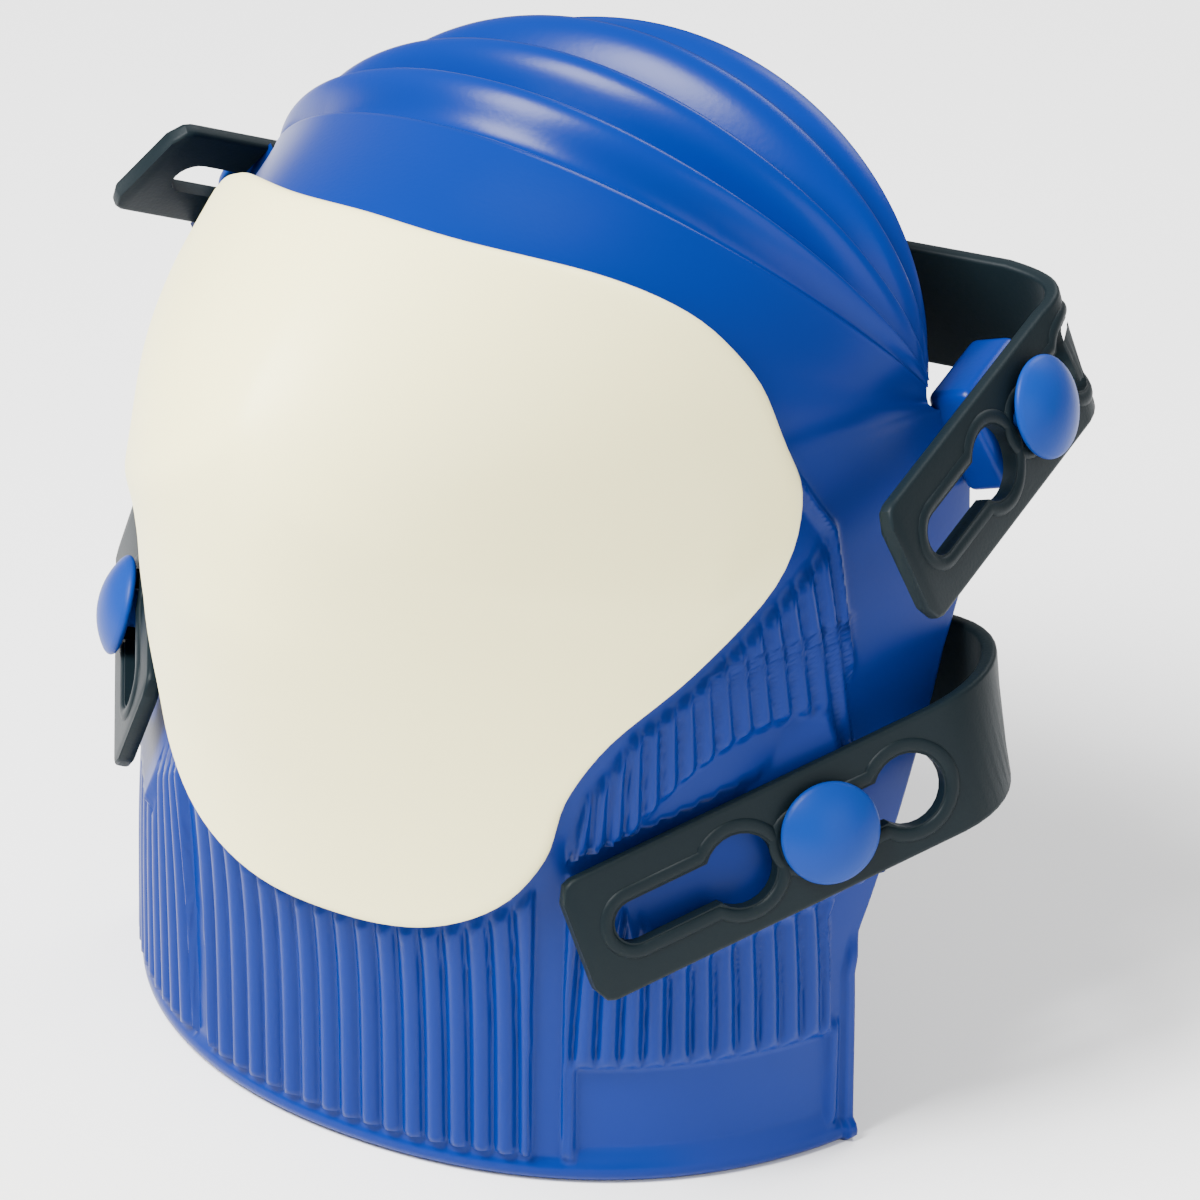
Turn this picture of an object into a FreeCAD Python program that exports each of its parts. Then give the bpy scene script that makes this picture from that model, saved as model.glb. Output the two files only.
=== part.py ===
import FreeCAD, Part
import math
import os
from FreeCAD import Placement, Rotation, Vector

# Strap-on knee pad: a moulded cup and ribbed shin skirt, a hard cap, three flexing bellows
# pleats over the knee, foam cushions, four mushroom studs and two keyhole straps.
# Millimetres. X is across the leg, -Y is forward (the kneeling face), +Z is up the leg.
# The origin is at the front of the bottom rim, in the middle of its wall.

doc = FreeCAD.newDocument("knee_pad")
sheet = doc.addObject("Spreadsheet::Sheet", "Sheet")

DIMENSIONS = {
    "wall": 2.5,
    "hub_back": 88.75,
    "hub_up": 136.0,
    "cap_gap": 1.0,
    "cap_thickness": 3.6,
    "peg_radius": 2.4,
    "peg_clearance": 0.3,
    "peg_side": 36.0,
    "peg_side_up": 118.0,
    "peg_low_up": 72.0,
    "peg_reach": 9.0,
    "nut_radius": 5.0,
    "nut_thickness": 1.2,
    "knee_foam_inset": 15.0,
    "knee_foam_thickness": 9.0,
    "knee_foam_low": 88.0,
    "knee_foam_high": 164.0,
    "knee_foam_half_width": 45.0,
    "foam_back": 40.0,
    "shin_foam_inset": 3.2,
    "shin_foam_thickness": 8.0,
    "shin_foam_low": 8.0,
    "shin_foam_high": 63.0,
    "shin_foam_half_width": 54.0,
    "pleat_thickness": 2.0,
    "pleat_gap": 0.6,
    "pleat_foot": 9.0,
    "pleat_half": 64.5,
    "pleat_peak": 1.6,
    "stud_head_radius": 9.7,
    "stud_rim_height": 1.4,
    "stud_dome_radius": 15.0,
    "stud_shank_radius": 3.7,
    "stud_shank_length": 16.4,
    "stud_tip_length": 1.2,
    "stud_hole_clearance": 0.05,
    "washer_radius": 6.5,
    "washer_thickness": 1.6,
    "boss_depth": 8.0,
    "strap_width": 25.0,
    "strap_thickness": 3.0,
    "strap_float": 1.4,
    "keyhole_tip": 7.4,
    "keyhole_centre": 33.4,
    "keyhole_pitch": 35.0,
    "keyhole_round": 7.0,
    "keyhole_slot": 4.1,
    "right_reach": 51.0,
    "left_reach": 32.5,
}

# Cross-sections of the cup and skirt. Sections below the hub are level planes at a height;
# those above it are planes that turn about the hub axis, given by their angle from level.
# front: hub axis to the front of the section. half: half width. rear: where the sides end.
# square and peak: how full the section is across and towards its front.
LEVEL = {
    "rim": {"up": 0.0, "front": 90.0, "half": 83.0, "rear": 8.0, "square": 2.1, "peak": 2.15},
    "shin": {"up": 50.0, "front": 93.0, "half": 82.0, "rear": 6.0, "square": 2.1, "peak": 2.0},
    "waist": {"up": 80.0, "front": 102.0, "half": 80.0, "rear": 2.0, "square": 2.0, "peak": 1.6},
    "belly": {"up": 108.0, "front": 114.0, "half": 76.0, "rear": -3.0, "square": 2.0, "peak": 1.4},
    "brow": {"up": 128.0, "front": 121.0, "half": 73.0, "rear": -6.0, "square": 2.0, "peak": 1.25},
}
TURNED = {
    "nose": {"turn": 12.0, "front": 123.0, "half": 71.0, "rear": 4.0, "square": 2.0, "peak": 1.15},
    "bridge": {"turn": 28.0, "front": 104.0, "half": 70.0, "rear": 5.0, "square": 2.0, "peak": 1.25},
    "top": {"turn": 45.0, "front": 83.0, "half": 70.0, "rear": 7.0, "square": 2.0, "peak": 1.4},
    "crest": {"turn": 57.0, "front": 75.0, "half": 70.0, "rear": 9.0, "square": 2.0, "peak": 1.6},
}

# Where each pleat starts and how far it spans, in degrees about the hub axis.
PLEATS = {
    "first": {"start": 49.0, "span": 24.0, "reach": 68.0},
    "second": {"start": 66.0, "span": 26.0, "reach": 63.5},
    "third": {"start": 85.0, "span": 27.0, "reach": 58.0},
}


def fill_sheet():
    """Write every driving dimension as a plain number with an alias."""
    cells = dict(DIMENSIONS)
    for sections in (LEVEL, TURNED, PLEATS):
        for section, sizes in sections.items():
            for size, value in sizes.items():
                cells[section + "_" + size] = value
    for row, (alias, value) in enumerate(cells.items(), start=1):
        sheet.set("A%d" % row, alias)
        sheet.set("B%d" % row, str(value))
        sheet.setAlias("B%d" % row, alias)
    doc.recompute()


def dim(alias):
    """A driving dimension, read back from the sheet."""
    return float(sheet.get(alias))


fill_sheet()
HUB = Vector(0, dim("hub_back"), dim("hub_up"))
ARCH_STEP = 15
PAST_EDGE = 3.0
FAR = 160.0
CAP_BACK = 62.0


# ---------------------------------------------------------------- helpers

def add(kind, name):
    """A document object of a kind, labelled with its own name."""
    item = doc.addObject(kind, name)
    item.Label = name
    return item


def feature(name, shape):
    """A Part::Feature that holds a shape made with Part's own functions."""
    item = add("Part::Feature", name)
    item.Shape = shape
    return item


def bind(item, **cells):
    """Tie properties of an object to expressions on the sheet."""
    for prop, expression in cells.items():
        item.setExpression(prop, expression)
    return item


def fuse(name, items):
    """Join several objects."""
    joined = add("Part::MultiFuse", name)
    joined.Shapes = items
    return joined


def cut(name, base, tool):
    """Take one object away from another."""
    result = add("Part::Cut", name)
    result.Base = base
    result.Tool = tool
    return result


def common(name, base, tool):
    """Keep what two objects share."""
    result = add("Part::Common", name)
    result.Base = base
    result.Tool = tool
    return result


def box(name, low, high):
    """An upright box between two corners."""
    size = high - low
    item = add("Part::Box", name)
    item.Length = size.x
    item.Width = size.y
    item.Height = size.z
    item.Placement = Placement(low, Rotation())
    return item


def cylinder(name, radius, height, placement):
    """A cylinder whose radius and height are sheet expressions."""
    item = add("Part::Cylinder", name)
    bind(item, Radius=radius, Height=height)
    item.Placement = placement
    return item


def aimed(origin, along, outward):
    """A placement whose x runs along a part and whose z points outward."""
    z = Vector(outward).normalize()
    x = (along - z * along.dot(z)).normalize()
    return Placement(origin, Rotation(x, z.cross(x), z, "ZXY"))


def mirrored(vector):
    """The same point or direction on the other side of the leg."""
    return Vector(-vector.x, vector.y, vector.z)


# ---------------------------------------------------------------- cup and skirt surface

def arch(section, offset, past):
    """Points of a section as (across, forward of the hub axis), grown by an offset.

    The sides run past their rear ends by a given distance.
    """
    half = dim(section + "_half") + offset
    rear = dim(section + "_rear") - past
    depth = dim(section + "_front") + offset - rear
    square = 2.0 / dim(section + "_square")
    peak = 2.0 / dim(section + "_peak")
    points = []
    for degrees in range(-90, 91, ARCH_STEP):
        angle = math.radians(degrees)
        side = math.copysign(abs(math.sin(angle)) ** square, angle)
        points.append((half * side, rear + depth * abs(math.cos(angle)) ** peak))
    return points


def level_point(up, across, forward):
    return Vector(across, HUB.y - forward, up)


def turned_point(degrees, across, forward):
    angle = math.radians(degrees)
    return HUB + Vector(across, -forward * math.cos(angle), forward * math.sin(angle))


def section_wire(points):
    """A closed wire: the arch and a straight line between its two ends."""
    curve = Part.BSplineCurve()
    curve.interpolate(points)
    return Part.Wire([curve.toShape(), Part.makeLine(points[-1], points[0])])


def core(name, offset, hollow):
    """The solid inside the whole cup, grown by an offset.

    A hollow core, which is a cutter, runs out past the rim, the crest and the rear edges.
    """
    past = PAST_EDGE if hollow else 0.0
    wires = []
    for section in LEVEL:
        up = dim(section + "_up") - (past if section == "rim" else 0.0)
        wires.append(section_wire([level_point(up, x, d) for x, d in arch(section, offset, past)]))
    for section in TURNED:
        turn = dim(section + "_turn") + (past if section == "crest" else 0.0)
        wires.append(section_wire([turned_point(turn, x, d) for x, d in arch(section, offset, past)]))
    return feature(name, Part.makeLoft(wires, True, False))


def side_profile(name, corners):
    """A slab across the leg with a side outline given as (back, up) corners."""
    body = add("PartDesign::Body", name)
    sketch = body.newObject("Sketcher::SketchObject", name + "_sketch")
    plane = [item for item in body.Origin.OriginFeatures if item.Role == "YZ_Plane"][0]
    sketch.AttachmentSupport = (plane, "")
    sketch.MapMode = "FlatFace"
    for start, end in zip(corners, corners[1:] + corners[:1]):
        sketch.addGeometry(Part.LineSegment(Vector(*start, 0), Vector(*end, 0)), False)
    pad = body.newObject("PartDesign::Pad", name + "_pad")
    pad.Profile = sketch
    pad.Midplane = True
    pad.Length = 2 * FAR
    return body


# ---------------------------------------------------------------- stud and strap places

# Each stud's place is where its axis crosses the middle of the strap's thickness.
UPPER_RIGHT = aimed(Vector(83.6, 98.9, 134.3), Vector(0.018, -0.977, -0.215), Vector(0.935, -0.03, 0.353))
LOWER_RIGHT = aimed(Vector(75.7, 40.2, 71.1), Vector(-0.538, -0.801, -0.265), Vector(0.756, -0.597, 0.268))


def mirror_place(place):
    """The matching place on the left: same point, x along the strap, z outward."""
    along = place.Rotation.multVec(Vector(1, 0, 0))
    outward = place.Rotation.multVec(Vector(0, 0, 1))
    return aimed(mirrored(place.Base), mirrored(along), mirrored(outward))


# The upper strap's left end stands up and away from the leg, and its stud stands with it.
UPPER_LEFT = aimed(mirrored(UPPER_RIGHT.Base), Vector(-0.38, -0.81, 0.44), Vector(-0.70, 0.52, 0.49))
LOWER_LEFT = mirror_place(LOWER_RIGHT)
STUDS = {
    "upper_right": UPPER_RIGHT,
    "upper_left": UPPER_LEFT,
    "lower_right": LOWER_RIGHT,
    "lower_left": LOWER_LEFT,
}


def shifted(place, along=0.0, across=0.0, outward=0.0):
    """A place moved in its own directions."""
    return place * Placement(Vector(along, across, outward), Rotation())


SEAT = dim("strap_thickness") / 2 + dim("strap_float")


def boss(name, place, ahead, behind, width, depth, fall):
    """A raised block under a strap, one float below it at the stud and falling away ahead."""
    item = add("Part::Box", name)
    item.Length = ahead + behind
    item.Width = width
    item.Height = depth
    item.Placement = place * Placement(Vector(), Rotation(Vector(0, 1, 0), fall)) * Placement(
        Vector(-behind, -width / 2, -SEAT - depth), Rotation())
    rounded = add("Part::Fillet", name + "_rounded")
    rounded.Base = item
    doc.recompute()
    upright = []
    across = place.Rotation.multVec(Vector(0, 0, 1))
    for number, edge in enumerate(item.Shape.Edges, start=1):
        if abs(edge.tangentAt(0).dot(across)) > 0.99:
            upright.append((number, 5.0, 5.0))
    rounded.Edges = upright
    return rounded


# ---------------------------------------------------------------- shell

def stud_holes():
    """Through holes and flat inner seats for the studs."""
    tools = []
    for name, place in STUDS.items():
        tools.append(cylinder(
            name + "_hole", "Sheet.stud_shank_radius + Sheet.stud_hole_clearance", "30",
            shifted(place, outward=-30.0)))
        tools.append(cylinder(
            name + "_seat", "Sheet.washer_radius + 1.2", "26",
            shifted(place, outward=-SEAT - dim("boss_depth") - 26.0)))
    return tools


def wall_span(x, up):
    """Where the cup's wall starts and ends, front to back, at one place on its face."""
    probe = Part.makeLine(Vector(x, -FAR, up), Vector(x, HUB.y, up))
    extent = doc.getObject("cup_wall").Shape.common(probe).BoundBox
    return extent.YMin, extent.YMax


def peg_spots():
    """Where the cap's pegs stand, seen from the front: one low, one at each side."""
    side = dim("peg_side")
    up = dim("peg_side_up")
    return [(0.0, dim("peg_low_up")), (side, up), (-side, up)]


def backward(x, y, up):
    """A placement whose z points to the back."""
    return Placement(Vector(x, y, up), Rotation(Vector(0, 0, 1), Vector(0, 1, 0)))


def peg_holes():
    """Holes in the shell for the cap's pegs."""
    holes = []
    for number, (x, up) in enumerate(peg_spots(), start=1):
        holes.append(cylinder(
            "peg_hole_%d" % number, "Sheet.peg_radius + Sheet.peg_clearance", "90",
            backward(x, -50.0, up)))
    return holes


def make_shell():
    """Cup, ribbed skirt and side wings in one moulding, with raised strap platforms."""
    outer = core("cup_outer", 0.0, False)
    inner = core("cup_inner", -dim("wall"), True)
    wall = cut("cup_wall", outer, inner)
    shallow = dim("boss_depth") + 2.5
    blocks = [
        boss("upper_right_boss", UPPER_RIGHT, 13.0, 10.0, 27.0, shallow, 0.0),
        boss("upper_left_boss", UPPER_LEFT, 13.0, 10.0, 27.0, shallow + 4.0, 0.0),
    ]
    for name, place in (("lower_right_boss", LOWER_RIGHT), ("lower_left_boss", LOWER_LEFT)):
        block = boss(name, place, 27.0, 8.0, 27.0, 26.0, 3.5)
        blocks.append(cut(name + "_trimmed", block, inner))
    blank = fuse("shell_blank", [wall] + blocks)
    behind = side_profile("behind_rear_edge", [
        (50, -10), (50, 38), (57, 53), (80, 91), (92, 106), (99, 116),
        (118, 116), (118, 190), (200, 190), (200, -10)])
    below = box("below_rim", Vector(-FAR, -FAR, -20), Vector(FAR, FAR, 0))
    tools = fuse("shell_tools", [behind, below] + stud_holes() + peg_holes())
    return cut("shell", blank, tools)


# ---------------------------------------------------------------- cap

def front_profile(name):
    """The cap's outline seen from the front, as a slab towards the leg."""
    body = add("PartDesign::Body", name)
    sketch = body.newObject("Sketcher::SketchObject", name + "_sketch")
    plane = [item for item in body.Origin.OriginFeatures if item.Role == "XZ_Plane"][0]
    sketch.AttachmentSupport = (plane, "")
    sketch.MapMode = "FlatFace"
    right = [(20, 55), (33, 62), (40, 72), (43.5, 85), (49, 96), (58, 107),
             (63.5, 118), (64, 131), (61.5, 144), (56, 157), (48, 170), (37, 181), (22, 189)]
    left = [(-x, z) for x, z in reversed(right)]
    outline = [(0, 53)] + right + [(0, 193)] + left
    curve = Part.BSplineCurve()
    curve.interpolate([Vector(x, z, 0) for x, z in outline], PeriodicFlag=True)
    sketch.addGeometry(curve, False)
    pad = body.newObject("PartDesign::Pad", name + "_pad")
    pad.Profile = sketch
    pad.Midplane = True
    pad.Length = 2 * CAP_BACK
    return body


def make_cap():
    """Hard cap: a skin over the front of the cup, with three pegs through the shell."""
    doc.recompute()
    gap = dim("cap_gap")
    outside = core("cap_outside", gap + dim("cap_thickness"), False)
    inside = core("cap_inside", gap, True)
    skin = common("cap_skin", cut("cap_shell", outside, inside), front_profile("cap_outline"))
    pegs = []
    for number, (x, up) in enumerate(peg_spots(), start=1):
        front, back = wall_span(x, up)
        root = front - gap - dim("cap_thickness") / 2
        length = back + dim("peg_reach") - root
        pegs.append(cylinder(
            "peg_%d" % number, "Sheet.peg_radius", str(length), backward(x, root, up)))
    return fuse("cap", [skin] + pegs)


def make_push_nuts():
    """Spring push nuts on the inner ends of the pegs."""
    nuts = []
    for number, (x, up) in enumerate(peg_spots(), start=1):
        back = wall_span(x, up)[1] + dim("peg_reach") - dim("nut_thickness") - 0.5
        seat = backward(x, back, up)
        outer = cylinder("nut_disc_%d" % number, "Sheet.nut_radius", "Sheet.nut_thickness", seat)
        hole = cylinder("nut_bore_%d" % number, "Sheet.peg_radius", "Sheet.nut_thickness", seat)
        nuts.append(cut("nut_%d" % number, outer, hole))
    return fuse("push_nuts", nuts)


# ---------------------------------------------------------------- cushions

def make_cushion(name, prefix):
    """A foam cushion that follows the inside of the cup between two heights."""
    inset = dim(prefix + "_inset")
    near = core(name + "_front", -inset, False)
    far = core(name + "_back", -inset - dim(prefix + "_thickness"), True)
    half = dim(prefix + "_half_width")
    keep = box(name + "_extent", Vector(-half, -FAR, dim(prefix + "_low")),
               Vector(half, dim("foam_back"), dim(prefix + "_high")))
    return common(name, cut(name + "_skin", near, far), keep)


# ---------------------------------------------------------------- bellows

def make_pleat(number, key):
    """One pleat: an arched band revolved about the hub axis, inside the one before it."""
    name = "bellows_pleat_%d" % number
    body = add("PartDesign::Body", name)
    sketch = body.newObject("Sketcher::SketchObject", name + "_sketch")
    plane = [item for item in body.Origin.OriginFeatures if item.Role == "XZ_Plane"][0]
    sketch.AttachmentSupport = (plane, "")
    sketch.MapMode = "FlatFace"
    thickness = dim("pleat_thickness")
    half = dim("pleat_half") - (number - 1) * (thickness + dim("pleat_gap"))
    reach = dim(key + "_reach")
    foot = dim("pleat_foot")
    peak = 2.0 / dim("pleat_peak")
    lines = []
    for inset in (0.0, thickness):
        points = []
        for degrees in range(-90, 91, ARCH_STEP):
            angle = math.radians(degrees)
            rise = foot + (reach - inset - foot) * abs(math.cos(angle)) ** peak
            points.append(Vector((half - inset) * math.sin(angle), rise, 0))
        curve = Part.BSplineCurve()
        curve.interpolate(points)
        sketch.addGeometry(curve, False)
        lines.append(points)
    for end in (0, -1):
        sketch.addGeometry(Part.LineSegment(lines[0][end], lines[1][end]), False)
    turn = body.newObject("PartDesign::Revolution", name + "_turn")
    turn.Profile = sketch
    turn.ReferenceAxis = (sketch, ["H_Axis"])
    turn.setExpression("Angle", "Sheet.%s_span" % key)
    far_edge = dim(key + "_start") + dim(key + "_span") - 90.0
    body.Placement = Placement(HUB, Rotation(Vector(1, 0, 0), -far_edge))
    return body


# ---------------------------------------------------------------- studs

def make_stud(name, place):
    """Mushroom stud: a domed head on a shank that runs through the strap and the shell."""
    under = shifted(place, outward=SEAT)
    shank = cylinder(name + "_shank", "Sheet.stud_shank_radius", "Sheet.stud_shank_length",
                     shifted(under, outward=-dim("stud_shank_length")))
    rim = cylinder(name + "_rim", "Sheet.stud_head_radius", "Sheet.stud_rim_height", under)
    head = dim("stud_head_radius")
    dome_radius = dim("stud_dome_radius")
    sink = math.sqrt(dome_radius ** 2 - head ** 2)
    dome = add("Part::Sphere", name + "_dome")
    bind(dome, Radius="Sheet.stud_dome_radius")
    dome.Angle1 = math.degrees(math.asin(sink / dome_radius))
    dome.Placement = shifted(under, outward=dim("stud_rim_height") - sink)
    tip = add("Part::Cone", name + "_tip")
    bind(tip, Radius1="Sheet.stud_shank_radius - 1", Radius2="Sheet.stud_shank_radius",
         Height="Sheet.stud_tip_length")
    tip.Placement = shifted(under, outward=-dim("stud_shank_length") - dim("stud_tip_length"))
    return fuse(name, [shank, rim, dome, tip])


def make_washer(name, place):
    """Retaining washer pressed on a stud's shank against the inner seat."""
    depth = -SEAT - dim("boss_depth") - 0.1 - dim("washer_thickness")
    seat = shifted(place, outward=depth)
    disc = cylinder(name + "_disc", "Sheet.washer_radius", "Sheet.washer_thickness", seat)
    bore = cylinder(name + "_bore", "Sheet.stud_shank_radius", "Sheet.washer_thickness", seat)
    return cut(name, disc, bore)


# ---------------------------------------------------------------- straps

def strap_wire(centre, across, outward):
    """The strap's cross-section at one station."""
    half = across.normalize() * (dim("strap_width") / 2)
    rise = outward.normalize() * (dim("strap_thickness") / 2)
    corners = [centre + half + rise, centre - half + rise, centre - half - rise, centre + half - rise]
    return Part.makePolygon(corners + corners[:1])


def axes(place):
    """A place's own directions: along to the free end, across, outward."""
    turn = place.Rotation
    return [turn.multVec(Vector(*unit)) for unit in ((1, 0, 0), (0, 1, 0), (0, 0, 1))]


def bend(start, start_way, end, end_way, pull, steps):
    """Centres and directions along a smooth bend between two straight stretches."""
    stations = []
    for step in range(1, steps):
        k = step / steps
        points = [start, start + start_way * pull, end - end_way * pull, end]
        centre = (points[0] * (1 - k) ** 3 + points[1] * 3 * k * (1 - k) ** 2
                  + points[2] * 3 * k ** 2 * (1 - k) + points[3] * k ** 3)
        way = ((points[1] - points[0]) * (1 - k) ** 2 + (points[2] - points[1]) * 2 * k * (1 - k)
               + (points[3] - points[2]) * k ** 2)
        stations.append((centre, way.normalize()))
    return stations


def strap_side(place, reach, straight, cross, cross_up, pull):
    """Stations from a free end, past its stud and round the bend to the crossing."""
    along, across, outward = axes(place)
    if across.z < 0:
        across = across * -1
    stations = [(place.Base + along * reach, across, outward)]
    stations.append((place.Base - along * straight, across, outward))
    inward = Vector(-math.copysign(1, place.Base.x), 0, 0)
    bends = bend(place.Base - along * straight, along * -1, cross, inward, pull, 8)
    for number, (centre, way) in enumerate(bends + [(cross, inward)], start=1):
        share = number / 8
        side = across * (1 - share) + cross_up * share
        side = (side - way * side.dot(way)).normalize()
        face = way.cross(side) * math.copysign(1, place.Base.x) * -1
        stations.append((centre, side, face))
    return stations


def keyhole(name, place, tip, centre):
    """A keyhole cutter: a narrow slot towards the free end and a round end behind it."""
    tall = 9.0
    low = shifted(place, outward=-tall / 2)
    slot = dim("keyhole_slot")
    parts = [
        cylinder(name + "_tip", "Sheet.keyhole_slot", str(tall), shifted(low, along=tip - slot)),
        cylinder(name + "_round", "Sheet.keyhole_round", str(tall), shifted(low, along=centre)),
    ]
    neck = add("Part::Box", name + "_neck")
    neck.Length = tip - slot - centre
    neck.Width = 2 * slot
    neck.Height = tall
    neck.Placement = shifted(low, along=centre, across=-slot)
    return fuse(name, parts + [neck])


def make_strap(name, right, left, crossing):
    """A moulded strap: two keyhole ends joined by a band behind the leg."""
    right_side = strap_side(right, dim("right_reach"), crossing["right_straight"],
                            crossing["right_cross"], crossing["up"], crossing["pull"])
    left_side = strap_side(left, dim("left_reach"), crossing["left_straight"],
                           crossing["left_cross"], crossing["up"], crossing["pull"])
    stations = right_side + list(reversed(left_side))
    wires = [strap_wire(*station) for station in stations]
    band = feature(name + "_band", Part.makeLoft(wires, True, True))
    tip = dim("right_reach") - dim("keyhole_tip")
    centre = dim("right_reach") - dim("keyhole_centre")
    pitch = dim("keyhole_pitch")
    left_tip = dim("left_reach") - dim("keyhole_tip")
    left_centre = dim("left_reach") - dim("keyhole_centre")
    holes = [
        keyhole(name + "_end_keyhole", right, tip, centre),
        keyhole(name + "_stud_keyhole", right, tip - pitch, centre - pitch),
        keyhole(name + "_left_keyhole", left, left_tip, left_centre),
    ]
    return cut(name, band, fuse(name + "_keyholes", holes))


# ---------------------------------------------------------------- assembly

def build():
    """Every sub-part, by node name."""
    parts = {"shell": make_shell(), "cap": make_cap()}
    doc.recompute()
    parts["push_nuts"] = make_push_nuts()
    parts["knee_cushion"] = make_cushion("knee_cushion", "knee_foam")
    parts["shin_cushion"] = make_cushion("shin_cushion", "shin_foam")
    for number, key in enumerate(PLEATS, start=1):
        parts["bellows_pleat_%d" % number] = make_pleat(number, key)
    for corner, place in STUDS.items():
        parts[corner + "_stud"] = make_stud(corner + "_stud", place)
        parts[corner + "_washer"] = make_washer(corner + "_washer", place)
    parts["upper_strap"] = make_strap("upper_strap", UPPER_RIGHT, UPPER_LEFT, {
        "right_straight": 13.0, "left_straight": 13.0, "pull": 9.0, "up": Vector(0, -0.1, 1),
        "right_cross": Vector(66, 122, 138), "left_cross": Vector(-62, 122, 126)})
    parts["lower_strap"] = make_strap("lower_strap", LOWER_RIGHT, LOWER_LEFT, {
        "right_straight": 25.0, "left_straight": 25.0, "pull": 13.0, "up": Vector(0, 0.05, 1),
        "right_cross": Vector(76, 88, 80), "left_cross": Vector(-76, 88, 80)})
    return parts


def check_and_write(parts):
    """Stop on a failed object or a bad shape, then write one STEP file a node."""
    doc.recompute()
    for item in doc.Objects:
        if "Invalid" in item.State or "Error" in item.State:
            raise RuntimeError(item.Name + " failed: " + ", ".join(item.State))
    for name, item in parts.items():
        shape = item.Shape
        if shape.isNull() or not shape.isValid():
            raise RuntimeError(name + " has no valid shape")
    os.makedirs("parts", exist_ok=True)
    for name, item in parts.items():
        item.Label = name
        item.Shape.exportStep("parts/" + name + ".step")
        extent = item.Shape.BoundBox
        print("%-20s solids %d  volume %8.0f  x %6.1f %6.1f  y %6.1f %6.1f  z %6.1f %6.1f" % (
            name, len(item.Shape.Solids), item.Shape.Volume, extent.XMin, extent.XMax,
            extent.YMin, extent.YMax, extent.ZMin, extent.ZMax))


check_and_write(build())
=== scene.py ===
import math
import bmesh
import bpy
import numpy as np
from mathutils import Matrix, Quaternion, Vector
from mathutils.bvhtree import BVHTree


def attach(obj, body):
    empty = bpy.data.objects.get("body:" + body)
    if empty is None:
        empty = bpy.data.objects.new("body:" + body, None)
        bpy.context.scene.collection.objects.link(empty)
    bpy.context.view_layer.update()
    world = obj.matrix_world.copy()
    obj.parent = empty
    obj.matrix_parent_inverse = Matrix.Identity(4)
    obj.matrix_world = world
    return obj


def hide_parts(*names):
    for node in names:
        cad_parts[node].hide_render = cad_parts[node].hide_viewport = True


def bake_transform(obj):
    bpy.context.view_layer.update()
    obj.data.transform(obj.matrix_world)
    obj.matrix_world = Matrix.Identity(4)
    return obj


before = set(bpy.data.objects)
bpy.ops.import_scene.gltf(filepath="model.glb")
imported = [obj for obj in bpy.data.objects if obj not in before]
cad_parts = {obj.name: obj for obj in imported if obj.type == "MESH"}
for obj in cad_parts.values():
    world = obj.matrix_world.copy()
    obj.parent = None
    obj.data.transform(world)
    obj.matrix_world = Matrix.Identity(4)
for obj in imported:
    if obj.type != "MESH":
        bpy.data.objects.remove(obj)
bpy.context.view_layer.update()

MM = 0.001

# ------------------------------------------------------------------ the cup's surface, in millimetres
HUB_BACK = 88.75
HUB_UP = 136.0
WALL = 2.5
# Each section: place, front, half width, rear, squareness across, squareness at the front.
# The place is a height in LEVEL, and in TURNED an angle about the hub, in degrees.
LEVEL = [(0, 90, 83, 8, 2.1, 2.15), (50, 93, 82, 6, 2.1, 2.0), (80, 102, 80, 2, 2.0, 1.6),
         (108, 114, 76, -3, 2.0, 1.4), (128, 121, 73, -6, 2.0, 1.25)]
TURNED = [(12, 123, 71, 4, 2, 1.15), (28, 104, 70, 5, 2, 1.25), (45, 83, 70, 7, 2, 1.4),
          (57, 75, 70, 9, 2, 1.6), (71, 65, 68.5, 10, 2, 1.65), (92, 57.5, 67.5, 5, 2, 1.75),
          (112, 54, 66.5, 0, 2, 1.85)]
FOLD_START = 47.0
CRESTS = (57.0, 71.0, 92.0, 112.0)
FOLD_DEPTHS = (6.0, 13.0, 16.0, 16.0)
FOLD_RADIUS = 55.0
# (height, distance back) along the rear edge and along the bead that bounds the ribs.
REAR_EDGE = [(0, 50), (36, 50), (44, 52), (53, 57), (91, 80), (106, 92), (113, 97), (118, 120)]
BEAD_LINE = [(0, 46.5), (50, 46.5), (60, 52), (80, 56), (102, 56), (123, 57), (142, 46), (160, 30)]
# One half of the cap's outline, seen from the front: (across, height).
CAP_OUTLINE = [(0, 53), (20, 55), (33, 62), (40, 72), (43.5, 85), (49, 96), (58, 107), (63.5, 118),
               (64, 131), (62.3, 145), (57.8, 158), (49.5, 170.5), (37, 180.5), (20, 187.5), (0, 190.5)]
CAP_CENTRE = 125.0
PEG_SPOTS = ((0.0, 72.0), (36.0, 118.0), (-36.0, 118.0))
RIDGE_UP = 162.0
RIDGE_FALL = 0.71
RIDGE_HEIGHT = 3.0
NO_REAR_EDGE = 500.0


def smooth(low, high, value):
    """0 below low, 1 above high, with a soft step between."""
    k = np.clip((value - low) / (high - low), 0, 1)
    return k * k * (3 - 2 * k)


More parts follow.
